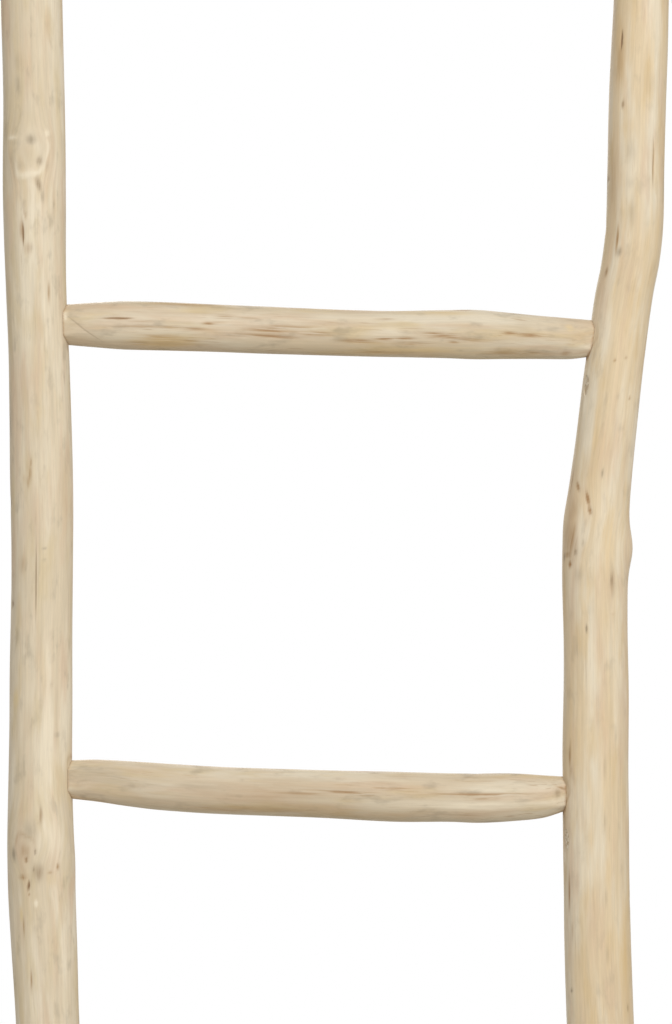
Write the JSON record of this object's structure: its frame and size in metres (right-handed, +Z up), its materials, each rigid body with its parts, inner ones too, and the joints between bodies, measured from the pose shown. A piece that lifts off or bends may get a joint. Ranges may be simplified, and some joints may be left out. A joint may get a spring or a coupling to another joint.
{
  "type": "blanket ladder",
  "caption": "Rustic leaning blanket ladder of peeled pale branches, with round whittled rungs set into crooked stiles.",
  "frame": {"origin": "on the floor, midway between the outermost points of the two stiles, between the sawn feet", "axes": "+Z up along the stiles, +X to the right seen from the front, +Y to the back, towards the wall that the ladder leans on"},
  "size_m": [0.5004, 0.055, 1.7],
  "materials": {
    "stile_wood": "peeled pale branch wood, sanded, unfinished and matte",
    "rung_wood": "peeled pale branch wood, a little darker, sanded, unfinished and matte",
    "screw_steel": "plain zinc-plated steel",
    "wood_filler": "pale wood filler sanded flush, matte"
  },
  "bodies": {
    "root": {"stile_left": "stile_wood", "stile_right": "stile_wood", "rung_1": "rung_wood", "rung_2": "rung_wood", "rung_3": "rung_wood", "rung_4": "rung_wood", "rung_5": "rung_wood", "screw_left_1": "screw_steel", "filler_left_1": "wood_filler", "screw_right_1": "screw_steel", "filler_right_1": "wood_filler", "screw_left_2": "screw_steel", "filler_left_2": "wood_filler", "screw_right_2": "screw_steel", "filler_right_2": "wood_filler", "screw_left_3": "screw_steel", "filler_left_3": "wood_filler", "screw_right_3": "screw_steel", "filler_right_3": "wood_filler", "screw_left_4": "screw_steel", "filler_left_4": "wood_filler", "screw_right_4": "screw_steel", "filler_right_4": "wood_filler", "screw_left_5": "screw_steel", "filler_left_5": "wood_filler", "screw_right_5": "screw_steel", "filler_right_5": "wood_filler"}
  },
  "joints": []
}
